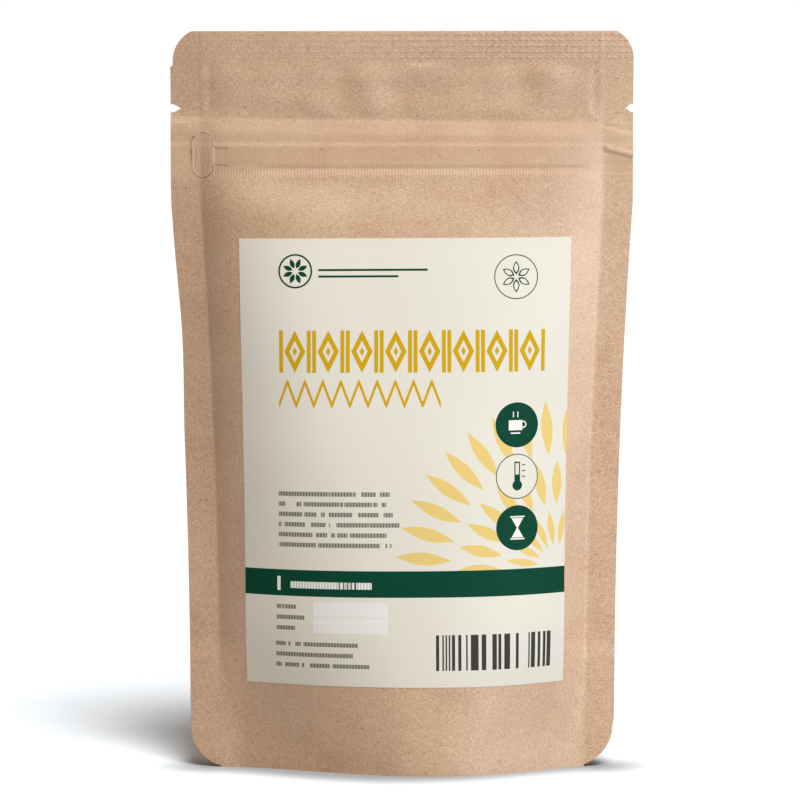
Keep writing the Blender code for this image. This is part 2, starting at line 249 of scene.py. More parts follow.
def front_wrinkles(x, z):
    """The front panel's small shapes: seal rows, puckers, creases and the lifted grip tab."""
    span = edge_half(z) - SIDE_SEAL
    inside = 1 - smooth(span - 0.004, span, np.abs(x))
    rows = sum(hump(row, SEAL_ROW_REACH, z) for row in SEAL_ROWS)
    total = SEAL_ROW_DEPTH * rows * (0.35 + 0.65 * smooth(-0.030, 0.030, x))
    header = smooth(0.1835, 0.1865, z) * (1 - smooth(0.197, 0.200, z)) * inside
    total = total + header * 0.00034 * swell(x, 0.8 * z, 9, 0.012, 5)
    total = total - header * 0.00030 * hump(0.0545, 0.0022, np.abs(x))
    body = smooth(0.004, 0.030, z) * (1 - smooth(0.150, 0.164, z)) * inside
    total = total + body * 0.00022 * swell(x, z, 6, 0.055, 11)
    below = smooth(0.150, 0.156, z) * (1 - smooth(0.160, 0.165, z)) * inside
    total = total + below * 0.00020 * swell(x, 0.5 * z, 5, 0.030, 3)
    crushed = smooth(0.1655, 0.1665, z) * (1 - smooth(0.1825, 0.1835, z))
    right = smooth(0.0555, 0.0585, x) * crushed
    total = total + right * 0.00010 * swell(0.35 * x, z, 5, 0.0048, 23)
    left = smooth(0.0590, 0.0600, -x) * crushed
    total = total + left * 0.00010 * swell(0.4 * x, z, 5, 0.006, 31)
    for start, end, depth, reach in CREASES:
        total = total + fold(x, z, start, end, depth, reach)
    seal_step = smooth(span, span + 0.0005, np.abs(x)) * (1 - in_band(z))
    total = total - 0.00010 * seal_step
    side = smooth(0.1435, 0.1442, z) - smooth(0.1442, 0.1449, z)
    total = total - 0.00018 * side * smooth(0.053, 0.057, x)
    lifted = in_tab(x, z)
    total = total + lifted * (0.00026 * (x - TAB_X) / TAB_RADIUS + 0.00006)
    total = total + lifted * 0.00006 * np.sin(x * 5200 + 1.6 * np.sin(z * 900))
    return total


def front_face(x, z):
    """y of the front panel's outer face."""
    layers = gusset_between(x, z) * (GAP + LEAF)
    stands = GAP / 2 + layers + bulge(x, z) + band(x, z) + front_wrinkles(x, z) + PANEL
    return leant(x, z) - stands


def sheet(name, columns, rows, place):
    """A thin closed sheet: a grid extruded once, each corner put by place(column, row, side)."""
    bm = bmesh.new()
    bmesh.ops.create_grid(bm, x_segments=columns, y_segments=rows, size=1)
    raised = bmesh.ops.extrude_face_region(bm, geom=bm.faces[:])["geom"]
    outer = [item for item in raised if isinstance(item, bmesh.types.BMVert)]
    bmesh.ops.translate(bm, verts=outer, vec=(0, 0, 1))
    corners = np.array([vert.co for vert in bm.verts])
    column = np.rint((corners[:, 0] + 1) / 2 * columns).astype(int)
    row = np.rint((corners[:, 1] + 1) / 2 * rows).astype(int)
    side = np.rint(corners[:, 2]).astype(int)
    for vert, corner in zip(bm.verts, np.stack(place(column, row, side), axis=1)):
        vert.co = corner
    bmesh.ops.recalc_face_normals(bm, faces=bm.faces[:])
    mesh = bpy.data.meshes.new(name)
    bm.to_mesh(mesh)
    bm.free()
    return mesh


def piece(name, mesh, material, slot, *nodes):
    """The finished piece: smooth faces with crisp rims, in its place on the pouch."""
    mesh.shade_smooth()
    mesh.set_sharp_from_angle(angle=math.radians(40))
    mesh.materials.clear()
    mesh.materials.append(material)
    made = bpy.data.objects.new(name, mesh)
    bpy.context.scene.collection.objects.link(made)
    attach(made, "root")
    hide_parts(*nodes)
    return made


# Heights of the panels' rows, closest together over the zip, at the notches and at the corners
PANEL_ROWS = np.concatenate([
    FOOT_RADIUS_RIGHT * (1 - np.cos(np.linspace(0, math.pi / 2, 16))),
    np.linspace(FOOT_RADIUS_RIGHT, 0.164, 98)[1:],
    np.linspace(0.164, 0.1848, 60)[1:],
    np.array([0.18524, 0.18525]),
    np.linspace(0.18525, 0.18755, 11)[1:],
    np.array([0.18756]),
    np.linspace(0.18756, 0.1980, 18)[1:],
    np.linspace(0.1980, 0.1990, 4)[1:],
    0.1990 + 0.0090 * np.sin(np.linspace(0, math.pi / 2, 26)[1:])])
LEFT_SEAL, LEFT_FINE, MIDDLE, RIGHT_SEAL = 20, 24, 142, 12
FINE_TO = -0.84


def panel_corner(column, row):
    """x and z of a corner of a panel: its columns are closest together round the grip tab."""
    z = PANEL_ROWS[row]
    span = edge_half(z) - SIDE_SEAL
    fine = LEFT_SEAL + LEFT_FINE
    last = fine + MIDDLE
    part = np.interp(column, [LEFT_SEAL, fine, last], [-1, FINE_TO, 1])
    left = -span - (outline_half(z, -1) - span) * (LEFT_SEAL - column) / LEFT_SEAL
    right = span + (outline_half(z, 1) - span) * (column - last) / RIGHT_SEAL
    x = np.where(column < LEFT_SEAL, left, np.where(column > last, right, span * part))
    return x, z


def place_front(column, row, side):
    """Where the corners of the front panel's sheet go: side 1 is its outer face."""
    x, z = panel_corner(column, row)
    return x, front_face(x, z) + PANEL * (1 - side), z


class Wire:
    """A socket of a material's nodes. Sums, products and comparisons of wires add Math nodes."""

    def __init__(self, tree, socket):
        self.tree = tree
        self.socket = socket

    def node(self, kind, settings, inputs, output=0):
        """Any other node: its settings first, then the values or wires of its sockets."""
        made = self.tree.nodes.new(kind)
        for name, value in settings.items():
            if name == "stops":
                while len(made.color_ramp.elements) < len(value):
                    made.color_ramp.elements.new(0.5)
                for element, (position, color) in zip(made.color_ramp.elements, value):
                    element.position = position
                    element.color = (*color, 1)
            else:
                setattr(made, name, value)
        for name, value in inputs.items():
            if isinstance(value, Wire):
                self.tree.links.new(value.socket, made.inputs[name])
            else:
                made.inputs[name].default_value = value
        return Wire(self.tree, made.outputs[output])

    def maths(self, operation, first, second=0.0):
        return self.node("ShaderNodeMath", {"operation": operation}, {0: first, 1: second})

    def __add__(self, other):
        return self.maths("ADD", self, other)

    __radd__ = __add__

    def __sub__(self, other):
        return self.maths("SUBTRACT", self, other)

    def __rsub__(self, other):
        return self.maths("SUBTRACT", other, self)

    def __mul__(self, other):
        return self.maths("MULTIPLY", self, other)

    __rmul__ = __mul__

    def __truediv__(self, other):
        return self.maths("DIVIDE", self, other)

    def __rtruediv__(self, other):
        return self.maths("DIVIDE", other, self)

    def __pow__(self, other):
        return self.maths("POWER", self, other)

    def __mod__(self, other):
        return self.maths("FLOORED_MODULO", self, other)

    def __lt__(self, other):
        return self.maths("LESS_THAN", self, other)

    def __gt__(self, other):
        return self.maths("GREATER_THAN", self, other)

    def __abs__(self):
        return self.maths("ABSOLUTE", self)

    def step(self, low, high):
        """0 below low, 1 above high, and a smooth step between, or the other way round."""
        settings = {"interpolation_type": "SMOOTHSTEP"}
        if low < high:
            return self.node("ShaderNodeMapRange", settings, {
                "Value": self, "From Min": low, "From Max": high, "To Min": 0.0, "To Max": 1.0})
        return self.node("ShaderNodeMapRange", settings, {
            "Value": self, "From Min": high, "From Max": low, "To Min": 1.0, "To Max": 0.0})

    def paint(self, under, over):
        """The colour under, with the colour over it where this wire is 1."""
        return self.node("ShaderNodeMix", {"data_type": "RGBA"}, {
            0: self, 6: under, 7: over}, 2)

    def noise(self, scale, detail=2.0, roughness=0.5, **settings):
        return self.node("ShaderNodeTexNoise", settings, {
            "Vector": self, "Scale": scale, "Detail": detail, "Roughness": roughness})

    def stretched(self, x, y, z):
        """These coordinates, stretched or squeezed along each axis."""
        return self.node("ShaderNodeMapping", {}, {"Vector": self, "Scale": (x, y, z)})


def linear(red, green, blue):
    """A colour given as it is read off a print, from 0 to 255, for a shader."""
    parts = [value / 255 for value in (red, green, blue)]
    return tuple(p / 12.92 if p <= 0.04045 else ((p + 0.055) / 1.055) ** 2.4 for p in parts)


def begin(name):
    """A new material, its shader, and a wire with the piece's own coordinates in metres."""
    made = bpy.data.materials.new(name)
    made.use_nodes = True
    tree = made.node_tree
    place = Wire(tree, tree.nodes.new("ShaderNodeTexCoord").outputs["Object"])
    return made, tree.nodes["Principled BSDF"], place


RIB_PITCH = 0.000854
RIB_DEPTH = 0.025
DOT_PITCH = 0.00186
DOT_ROW_PITCH = 0.00162
DOT_DEPTH = 0.16
GRAIN_CONTRAST = 2.2
PRESSED_CONTRAST = 1.1


def kraft_paper(name, printed_through):
    """Unbleached kraft paper: short fibres, specks of darker pulp and cloudy formation."""
    made, shader, place = begin(name)
    split = place.node("ShaderNodeSeparateXYZ", {}, {"Vector": place})
    x = split
    z = Wire(split.tree, split.socket.node.outputs["Z"])
    along = place.stretched(0.5, 1, 1).noise(3300, 2.0, 0.6)
    upright = place.stretched(1, 1, 0.5).noise(3700, 2.0, 0.6)
    crumb = place.noise(900, 3.0, 0.65)
    clouds = place.noise(75, 4.0, 0.6)
    broad = place.noise(18, 2.0, 0.5)
    grain = along * 0.45 + upright * 0.35 + crumb * 0.2
    if printed_through:
        pressed = z.step(0.1660, 0.1690) * z.step(0.1840, 0.1810)
        fine = GRAIN_CONTRAST - pressed * PRESSED_CONTRAST
    else:
        fine = GRAIN_CONTRAST
    tone = (grain - 0.5) * fine + (clouds - 0.5) * 0.42 + (broad - 0.5) * 0.25 + 0.5
    colour = tone.node("ShaderNodeValToRGB", {"stops": [
        (0.10, linear(159, 114, 79)), (0.42, linear(193, 152, 116)),
        (0.58, linear(205, 167, 131)), (0.90, linear(227, 196, 163))]}, {"Fac": tone})
    cells = place.stretched(1, 1, 2.2).node(
        "ShaderNodeTexVoronoi", {}, {"Vector": place.stretched(0.55, 1, 1.3), "Scale": 330.0})
    rare = Wire(cells.tree, cells.socket.node.outputs["Color"])
    chosen = rare.node("ShaderNodeSeparateColor", {}, {"Color": rare})
    speck = (cells < 0.085) * (chosen > 0.90)
    colour = (speck * 0.75).paint(colour, (*linear(128, 90, 62), 1))
    pale = (cells < 0.075) * (chosen < 0.10)
    colour = (pale * 0.5).paint(colour, (*linear(240, 220, 196), 1))
    height = grain * 0.085 + crumb * 0.05 + clouds * 0.08
    if printed_through:
        ribs = place.maths("SINE", x * (2 * math.pi / RIB_PITCH) + 3 * clouds)
        over_zip = z.step(0.1640, 0.1672) * z.step(0.1835, 0.1790)
        strong = z.step(0.1664, 0.1674) * z.step(0.1702, 0.1694)
        ribbed = over_zip * abs(x).step(0.0600, 0.0480) * (0.35 + 0.65 * strong)
        height = height + ribs * ribbed * RIB_DEPTH
        dots = place.maths("COSINE", x * (2 * math.pi / DOT_PITCH))
        rows = place.maths("COSINE", (z - SEAL_ROWS[0]) * (2 * math.pi / DOT_ROW_PITCH))
        knurled = z.step(0.1996, 0.2002) * (0.3 + 0.7 * x.step(-0.030, 0.030))
        height = height + rows.step(0.2, 1.0) * (0.55 + 0.45 * dots) * knurled * DOT_DEPTH
        nearest = place.maths("MAXIMUM", z, TAB_LOW_CENTRE)
        nearest = place.maths("MINIMUM", nearest, TAB_HIGH_CENTRE)
        away = place.maths("SQRT", (x - TAB_X) ** 2 + (z - nearest) ** 2)
        height = height + abs(away - TAB_RADIUS).step(0.0006, 0.0001) * 0.07
    bump = height.node("ShaderNodeBump", {}, {"Height": height, "Distance": 0.001, "Strength": 1.0})
    rough = 0.56 + (grain - 0.5) * 0.4
    tree = made.node_tree
    tree.links.new(colour.socket, shader.inputs["Base Color"])
    tree.links.new(rough.socket, shader.inputs["Roughness"])
    tree.links.new(bump.socket, shader.inputs["Normal"])
    shader.inputs["Specular IOR Level"].default_value = 0.90
    shader.inputs["IOR"].default_value = 1.72
    return made


STRIP_TOP = 0.1753
STRIP_FOOT = 0.1706
STRIP_END = -0.0488
STRIP_FILLET = 0.0010
CUT_WIDTH = 0.00020
LIFTED_CUT_WIDTH = 0.00042
KNIFE_FRONT = -0.012
KNIFE_DEPTH = 0.0118


def arc(x, z, radius, start, end, count):
    """Points along an arc, with its angles in degrees from +X."""
    angles = [math.radians(start + (end - start) * k / count) for k in range(count + 1)]
    return [(x + radius * math.cos(a), z + radius * math.sin(a)) for a in angles]


def cut_along(mesh, name, path, width):
    """Cut a narrow slot that follows a path through a panel."""
    left, right = [], []
    for k, (x, z) in enumerate(path):
        before = path[max(0, k - 1)]
        after = path[min(len(path) - 1, k + 1)]
        run_x, run_z = after[0] - before[0], after[1] - before[1]
        scale = width / 2 / math.hypot(run_x, run_z)
        left.append((x - run_z * scale, z + run_x * scale))
        right.append((x + run_z * scale, z - run_x * scale))
    bm = bmesh.new()
    face = bm.faces.new([bm.verts.new((x, KNIFE_FRONT, z)) for x, z in left + right[::-1]])
    grown = bmesh.ops.extrude_face_region(bm, geom=[face, *face.edges, *face.verts])["geom"]
    far = [item for item in grown if isinstance(item, bmesh.types.BMVert)]
    bmesh.ops.translate(bm, verts=far, vec=(0, KNIFE_DEPTH, 0))
    bmesh.ops.recalc_face_normals(bm, faces=bm.faces[:])
    knife_mesh = bpy.data.meshes.new(name)
    bm.to_mesh(knife_mesh)
    bm.free()
    knife = bpy.data.objects.new(name, knife_mesh)
    whole = bpy.data.objects.new(name + "_whole", mesh)
    for made in (knife, whole):
        bpy.context.scene.collection.objects.link(made)
    boolean = whole.modifiers.new("cut", "BOOLEAN")
    boolean.object = knife
    boolean.operation = "DIFFERENCE"
    boolean.solver = "EXACT"
    bpy.context.view_layer.update()
    graph = bpy.context.evaluated_depsgraph_get()
    cut = bpy.data.meshes.new_from_object(whole.evaluated_get(graph))
    for made in (knife, whole):
        bpy.data.objects.remove(made)
    return cut


tab_right = TAB_X + TAB_RADIUS
left_cut = arc(TAB_X, TAB_HIGH_CENTRE, TAB_RADIUS, 140, 180, 5)
left_cut += arc(TAB_X, TAB_LOW_CENTRE, TAB_RADIUS, 180, 215, 4)
outer_cut = arc(TAB_X, TAB_LOW_CENTRE, TAB_RADIUS, 212, 360, 15)
outer_cut += [(tab_right + 0.0002, STRIP_FOOT), (STRIP_END, STRIP_FOOT - 0.0002)]
inner_cut = arc(TAB_X, TAB_HIGH_CENTRE, TAB_RADIUS, 102, 0, 10)
inner_cut += arc(tab_right + STRIP_FILLET, STRIP_TOP + STRIP_FILLET, STRIP_FILLET, 180, 270, 6)
inner_cut += [(STRIP_END, STRIP_TOP)]

front_kraft = kraft_paper("kraft_front", True)
columns = LEFT_SEAL + LEFT_FINE + MIDDLE + RIGHT_SEAL
front_mesh = sheet("pouch_front", columns, len(PANEL_ROWS) - 1, place_front)
front_mesh = cut_along(front_mesh, "tab_left", left_cut, LIFTED_CUT_WIDTH)
front_mesh = cut_along(front_mesh, "tab_outer", outer_cut, CUT_WIDTH)
front_mesh = cut_along(front_mesh, "tab_inner", inner_cut, CUT_WIDTH)
piece("pouch_front", front_mesh, front_kraft, "kraft", "front_panel")


# Back panel: the same laminate, with the tear notches punched through both panels at once. No
# zip is welded to it, so only the seals and the fill shape it.

def back_face(x, z):
    """y of the back panel's outer face."""
    span = edge_half(z) - SIDE_SEAL
    inside = 1 - smooth(span - 0.004, span, np.abs(x))
    rows = sum(hump(row, SEAL_ROW_REACH, z) for row in SEAL_ROWS)
    wrinkles = SEAL_ROW_DEPTH * rows
    header = smooth(0.166, 0.172, z) * (1 - smooth(0.197, 0.200, z)) * inside
    wrinkles = wrinkles + header * 0.00035 * swell(x, 0.6 * z, 7, 0.020, 8)
    body = smooth(0.004, 0.030, z) * (1 - smooth(0.155, 0.166, z)) * inside
    wrinkles = wrinkles + body * 0.00040 * swell(x, z, 6, 0.045, 19)
    layers = gusset_between(x, z) * (GAP + LEAF)
    return leant(x, z) + GAP / 2 + layers + bulge(x, z) + wrinkles + PANEL


def place_back(column, row, side):
    """Where the corners of the back panel's sheet go: side 1 is its outer face."""
    x, z = panel_corner(column, row)
    return x, back_face(x, z) - PANEL * (1 - side), z


back_kraft = kraft_paper("kraft_back", False)
back_mesh = sheet("pouch_back", columns, len(PANEL_ROWS) - 1, place_back)
piece("pouch_back", back_mesh, back_kraft, "kraft", "back_panel")


# Bottom gusset: one sheet of the laminate folded in between the panels. It is welded to their
# lower edges in a curve, and the fill opens its fold into the arched foot.

GUSSET_FOLD = 0.030
GUSSET_CREST = 0.014
FOOT_SEAL = 0.004
FOOT_SEAL_SIDE = 0.027
GUSSET_REACH = 0.86
GUSSET_COLUMNS, LEG_ROWS, ARCH_ROWS = 96, 10, 26


def leaf_depth(x, z, side):
    """How far a face of the gusset's leg stands from the seal plane, behind the panel."""
    inside = GAP / 2 + gusset_between(x, z) * (GAP + LEAF) + bulge(x, z)
    return inside - GAP - LEAF * side


def place_gusset(column, row, side):
    """Where the corners of the gusset go: up behind one panel, over the arch and down again."""
    half_columns = GUSSET_COLUMNS / 2
    i = (column - half_columns) / half_columns
    j = row - LEG_ROWS - ARCH_ROWS
    part = np.sin(math.pi / 2 * np.clip(np.abs(i) / GUSSET_REACH, 0, 1))
    over = np.clip((np.abs(i) - GUSSET_REACH) / (1 - GUSSET_REACH), 0, 1)
    seal = FOOT_SEAL + (FOOT_SEAL_SIDE - FOOT_SEAL) * (1 - np.sqrt(1 - part ** 2))
    crest = GUSSET_CREST + (GUSSET_FOLD - GUSSET_CREST) * part ** 2
    leg_z = seal * (ARCH_ROWS + LEG_ROWS - np.abs(j)) / LEG_ROWS
    angle = math.pi / 2 * np.clip(j / ARCH_ROWS, -1, 1)
    arch_z = seal + (crest - LEAF * side - seal) * np.cos(angle)
    on_leg = np.abs(j) >= ARCH_ROWS
    z = np.where(on_leg, leg_z, arch_z)
    span = edge_half(z) - SIDE_SEAL
    half = outline_half(z, np.sign(i))
    x = np.sign(i) * (span * part + (half - span) * over)
    seal_span = edge_half(seal) - SIDE_SEAL
    seal_x = np.sign(i) * (seal_span * part + (outline_half(seal, np.sign(i)) - seal_span) * over)
    deep = np.where(on_leg, leaf_depth(x, z, side), leaf_depth(seal_x, seal, side))
    return x, leant(x, z) + deep * np.where(on_leg, np.sign(j), np.sin(angle)), z


gusset_mesh = sheet("pouch_gusset", GUSSET_COLUMNS, 2 * (LEG_ROWS + ARCH_ROWS), place_gusset)
piece("pouch_gusset", gusset_mesh, back_kraft, "kraft", "bottom_gusset")


# Label: a cream coated paper rectangle with a printed design, stuck on the front panel. It bends
# with the panel and stands a paper's thickness proud of it.

LABEL_WIDTH = 0.094
LABEL_TOP = 0.1502
LABEL_FOOT = 0.0250
LABEL_SHIFT = 0.0010
LABEL_SPREAD = 0.028
LABEL_TILT = math.radians(0.15)
LABEL_COLUMNS, LABEL_ROWS = 140, 180
PAPER = 0.00012
GLUE = 0.00003


def along_panel(distance, z):
    """x at a distance from the middle, measured along the panel's curved face."""
    count = 24
    step = np.abs(distance) / count + 1e-9
    x = np.zeros_like(distance)
    for _ in range(count):
        slope = (bulge(x + step, z) - bulge(x, z)) / step
        x = x + step / np.hypot(1, slope)
    return np.copysign(x, distance)


# Each corner's place on the print, in millimetres from the label's top left corner
print_place = []


def place_label(column, row, side):
    """Where the corners of the label go, bent over the front panel's face."""
    across = LABEL_WIDTH * (column / LABEL_COLUMNS - 0.5)
    up = row / LABEL_ROWS
    z = LABEL_FOOT + (LABEL_TOP - LABEL_FOOT) * up + across * math.sin(LABEL_TILT)
    spread = 1 + LABEL_SPREAD * (1 - up) ** 1.5
    x = along_panel(LABEL_SHIFT + across * spread, z)
    across_print = (across + LABEL_WIDTH / 2) * 1000
    down_print = (1 - up) * (LABEL_TOP - LABEL_FOOT) * 1000
    print_place[:] = [across_print, down_print, 0 * up]
    return x, front_face(x, z) - GLUE - PAPER * side, z


label_mesh = sheet("label_paper", LABEL_COLUMNS, LABEL_ROWS, place_label)
printed = label_mesh.attributes.new("print_place", "FLOAT_VECTOR", "POINT")
printed.data.foreach_set("vector", np.stack(print_place, axis=1).astype(np.float32).ravel())

CREAM = (*linear(225, 222, 209), 1)
GREEN = (*linear(5, 66, 48), 1)
GOLD = (*linear(203, 163, 14), 1)
PALE_GOLD = (*linear(228, 200, 122), 1)
INK = (*linear(62, 62, 56), 1)
WHITE = (*linear(238, 238, 230), 1)
FIELD = (*linear(233, 233, 229), 1)

# Places and sizes on the print, in millimetres
PRINT_LEFT = 11.3
BAND_TOP = 92.6
BAND_FOOT = 100.0
FAN_MIDDLE = 91
LOZENGE_PITCH = 9.425
ZIGZAG_PITCH = 5.055
ZIGZAG_HEIGHT = 6.6
DISC_RADIUS = 6.3
DISC_RIM = 0.25
STRIPE_PITCH = 1 / 2.3

paper, shader, place = begin("label_print")
read = place.node("ShaderNodeAttribute", {"attribute_name": "print_place"}, {})
place = Wire(read.tree, read.socket.node.outputs["Vector"])
split = place.node("ShaderNodeSeparateXYZ", {}, {"Vector": place})
across = split
down = Wire(split.tree, split.socket.node.outputs["Y"])


def box(left, right, top, foot):
    """1 inside a printed rectangle, in millimetres from the label's top left corner."""
    return (across > left) * (across < right) * (down > top) * (down < foot)


def distance(x, y):
    """Millimetres from a point of the print."""
    return place.maths("SQRT", (across - x) ** 2 + (down - y) ** 2)


def ring(x, y, radius, width):
    """A printed ring, by the radius of its middle line."""
    return abs(distance(x, y) - radius) < width / 2


def petals(x, y, count, start, end, fullness, turn=0.0):
    """A ring of pointed petals round a point, from one radius to another."""
    away = distance(x, y)
    angle = place.maths("ARCTAN2", down - y, across - x)
    sector = (angle * (count / (2 * math.pi)) + turn) % 1.0 - 0.5
    aside = abs(sector) * away * (2 * math.pi / count)
    part = ((away - start) / (end - start))
    inside = (part > 0.0) * (part < 1.0)
    full = place.maths("SINE", part * math.pi)
    middle = (start + end) / 2
    return (aside < full * (fullness * math.pi * middle / count)) * inside


def words(left, right, top, pitch, lines, height, seed):
    """Rows of plain strokes as long as words are."""
    line = place.maths("FLOOR", (down - top) / pitch)
    in_line = abs((down - top) % pitch - pitch / 2) < height / 2
    spot = place.node("ShaderNodeCombineXYZ", {}, {
        "X": across * 0.55, "Y": line * 7.3 + seed, "Z": 0.5})
    gaps = spot.noise(1.0, 1.0, 0.5)
    ragged = spot.node("ShaderNodeTexWhiteNoise", {"noise_dimensions": "1D"}, {"W": line + seed})
    ends = (across > left) * (across < right - ragged * 5)
    within = (down > top) * (down < top + pitch * lines)
    ticks = 0.62 + 0.38 * ((across % 0.83) < 0.45)
    return in_line * (gaps > 0.38) * ends * within * ticks


colour = box(-1, 95, BAND_TOP, BAND_FOOT).paint(CREAM, GREEN)
fan = petals(FAN_MIDDLE, BAND_TOP, 20, 6, 16, 0.62)
fan = fan + petals(FAN_MIDDLE, BAND_TOP, 28, 17.5, 30, 0.60, 0.5)
fan = fan + petals(FAN_MIDDLE, BAND_TOP, 36, 31.5, 47, 0.52)
colour = (fan * (down < BAND_TOP)).paint(colour, PALE_GOLD)

headline = box(PRINT_LEFT, 86.7, 25.6, 37.4)
cell = (across - PRINT_LEFT) % LOZENGE_PITCH - LOZENGE_PITCH / 2
lozenge = abs(cell) / 3.0 + abs(down - 31.5) / 5.9
bars = (abs(abs(cell) - 3.95) < 0.55) + (lozenge < 1.0) * (lozenge > 0.52) + (lozenge < 0.22)
colour = (headline * (bars > 0.5)).paint(colour, GOLD)
second = box(PRINT_LEFT, 56.8, 39.4, 47.1)
zigzag = abs((across - PRINT_LEFT) % ZIGZAG_PITCH - ZIGZAG_PITCH / 2)
zigzag = zigzag * (ZIGZAG_HEIGHT / (ZIGZAG_PITCH / 2))
stroke = abs(down - 39.95 - zigzag) < 1.0
colour = (second * stroke).paint(colour, GOLD)

mark = ring(16.1, 9.1, 4.55, 0.5) + petals(16.1, 9.1, 8, 0.8, 3.7, 0.75)
mark = mark + box(22.6, 53.2, 8.5, 9.1) + box(22.6, 45.0, 10.3, 10.9)
badge = ring(78.1, 10.95, 6.1, 0.28) + petals(78.1, 10.95, 6, 0.6, 4.4, 0.72)
badge = badge - petals(78.1, 10.95, 6, 1.2, 3.9, 0.46)
colour = (mark + badge > 0.5).paint(colour, GREEN)

disc_1 = distance(78.45, 52.3)
disc_2 = distance(78.5, 66.7)
disc_3 = distance(78.55, 81.1)
discs = (disc_1 < DISC_RADIUS) + (disc_2 < DISC_RADIUS) + (disc_3 < DISC_RADIUS)
colour = discs.paint(colour, GREEN)
colour = (disc_2 < DISC_RADIUS - DISC_RIM).paint(colour, CREAM)
cup = (abs(across - 78.0) < 2.0) * (abs(down - 52.4) < 1.4) + box(76.6, 79.4, 54.4, 54.8)
cup = cup + ring(80.2, 52.2, 0.85, 0.35) + box(77.2, 77.5, 48.6, 50.2) + box(78.5, 78.8, 48.6, 50.2)
glass = (abs(across - 78.55) < abs(down - 81.1) * 0.6 + 0.15) * (abs(down - 81.1) < 2.7)
glass = glass + box(76.4, 80.7, 77.8, 78.2) + box(76.4, 80.7, 84.0, 84.4)
colour = (cup + glass > 0.5).paint(colour, WHITE)
tube = (abs(across - 78.5) < 0.85) * (down > 62.6) * (down < 68.4) + (distance(78.5, 69.2) < 1.45)
hollow = (abs(across - 78.5) < 0.5) * (down > 63.0) * (down < 66.2)
scale = box(79.9, 80.9, 63.4, 63.7) + box(79.9, 80.9, 65.0, 65.3) + box(79.9, 80.9, 66.6, 66.9)
colour = (tube - hollow + scale > 0.5).paint(colour, GREEN)

body_text = words(11, 46.5, 69.8, 2.86, 6, 1.25, 1.7)
lower_text = words(10.4, 20.0, 101.5, 3.0, 3, 1.2, 4.1) + words(10.2, 37.5, 112.0, 3.0, 3, 1.2, 9.2)
colour = ((body_text + lower_text) * 0.82).paint(colour, INK)
colour = (box(10.6, 11.6, 94.5, 98.5) + words(12.9, 42.3, 95.2, 3.2, 1, 1.9, 5.5)).paint(colour, WHITE)
colour = box(21.5, 42.1, 101.5, 105.5).paint(colour, FIELD)
colour = box(21.5, 42.1, 105.8, 110.2).paint(colour, FIELD)
stripe = place.node("ShaderNodeTexWhiteNoise", {"noise_dimensions": "1D"}, {
    "W": place.maths("FLOOR", across / STRIPE_PITCH)})
colour = (box(52.8, 90.0, 110.5, 120.5) * (stripe > 0.48)).paint(colour, INK)

fibre = place.noise(2.2, 3.0, 0.6)
colour = ((fibre - 0.5) * 0.10).paint(colour, (*linear(214, 208, 190), 1))
bump = fibre.node("ShaderNodeBump", {}, {"Height": fibre, "Distance": 0.00001, "Strength": 1.0})
rough = 0.52 + (fibre - 0.5) * 0.15
tree = paper.node_tree
tree.links.new(colour.socket, shader.inputs["Base Color"])
tree.links.new(rough.socket, shader.inputs["Roughness"])
tree.links.new(bump.socket, shader.inputs["Normal"])
shader.inputs["Specular IOR Level"].default_value = 0.04
label = piece("label_paper", label_mesh, paper, "label_paper", "label")


# Zip strips: extruded polyethylene, a rib and a groove that press together. Their flanges are
# welded to the inside of the front panel across its full width, and the rib and groove stop
# short of the side seals.

FLANGE = 0.0004
WELD = 0.00005
FLANGE_INSET = 0.0003
FLANGE_COLUMNS = 96
FLANGE_ROWS = 12
PROFILE_HALF = 0.0457
PROFILE_STATIONS = 25
RIB_HEIGHT = 0.1756
ZIP_HIGH = 0.1835
RIB_FLANGE_FOOT = 0.1745
GROOVE_FLANGE_TOP = 0.1740
ZIP_LOW = 0.1668

plastic, shader, place = begin("zip_plastic")
flow = place.stretched(0.02, 1, 1).noise(2600, 3.0, 0.55)
haze = place.noise(120, 3.0, 0.5)
tone = haze.node("ShaderNodeValToRGB", {"stops": [
    (0.3, linear(206, 186, 160)), (0.7, linear(222, 206, 184))]}, {"Fac": haze})
bump = flow.node("ShaderNodeBump", {}, {"Height": flow, "Distance": 0.00002, "Strength": 1.0})
rough = 0.32 + (flow - 0.5) * 0.2
tree = plastic.node_tree
tree.links.new(tone.socket, shader.inputs["Base Color"])
tree.links.new(rough.socket, shader.inputs["Roughness"])
tree.links.new(bump.socket, shader.inputs["Normal"])


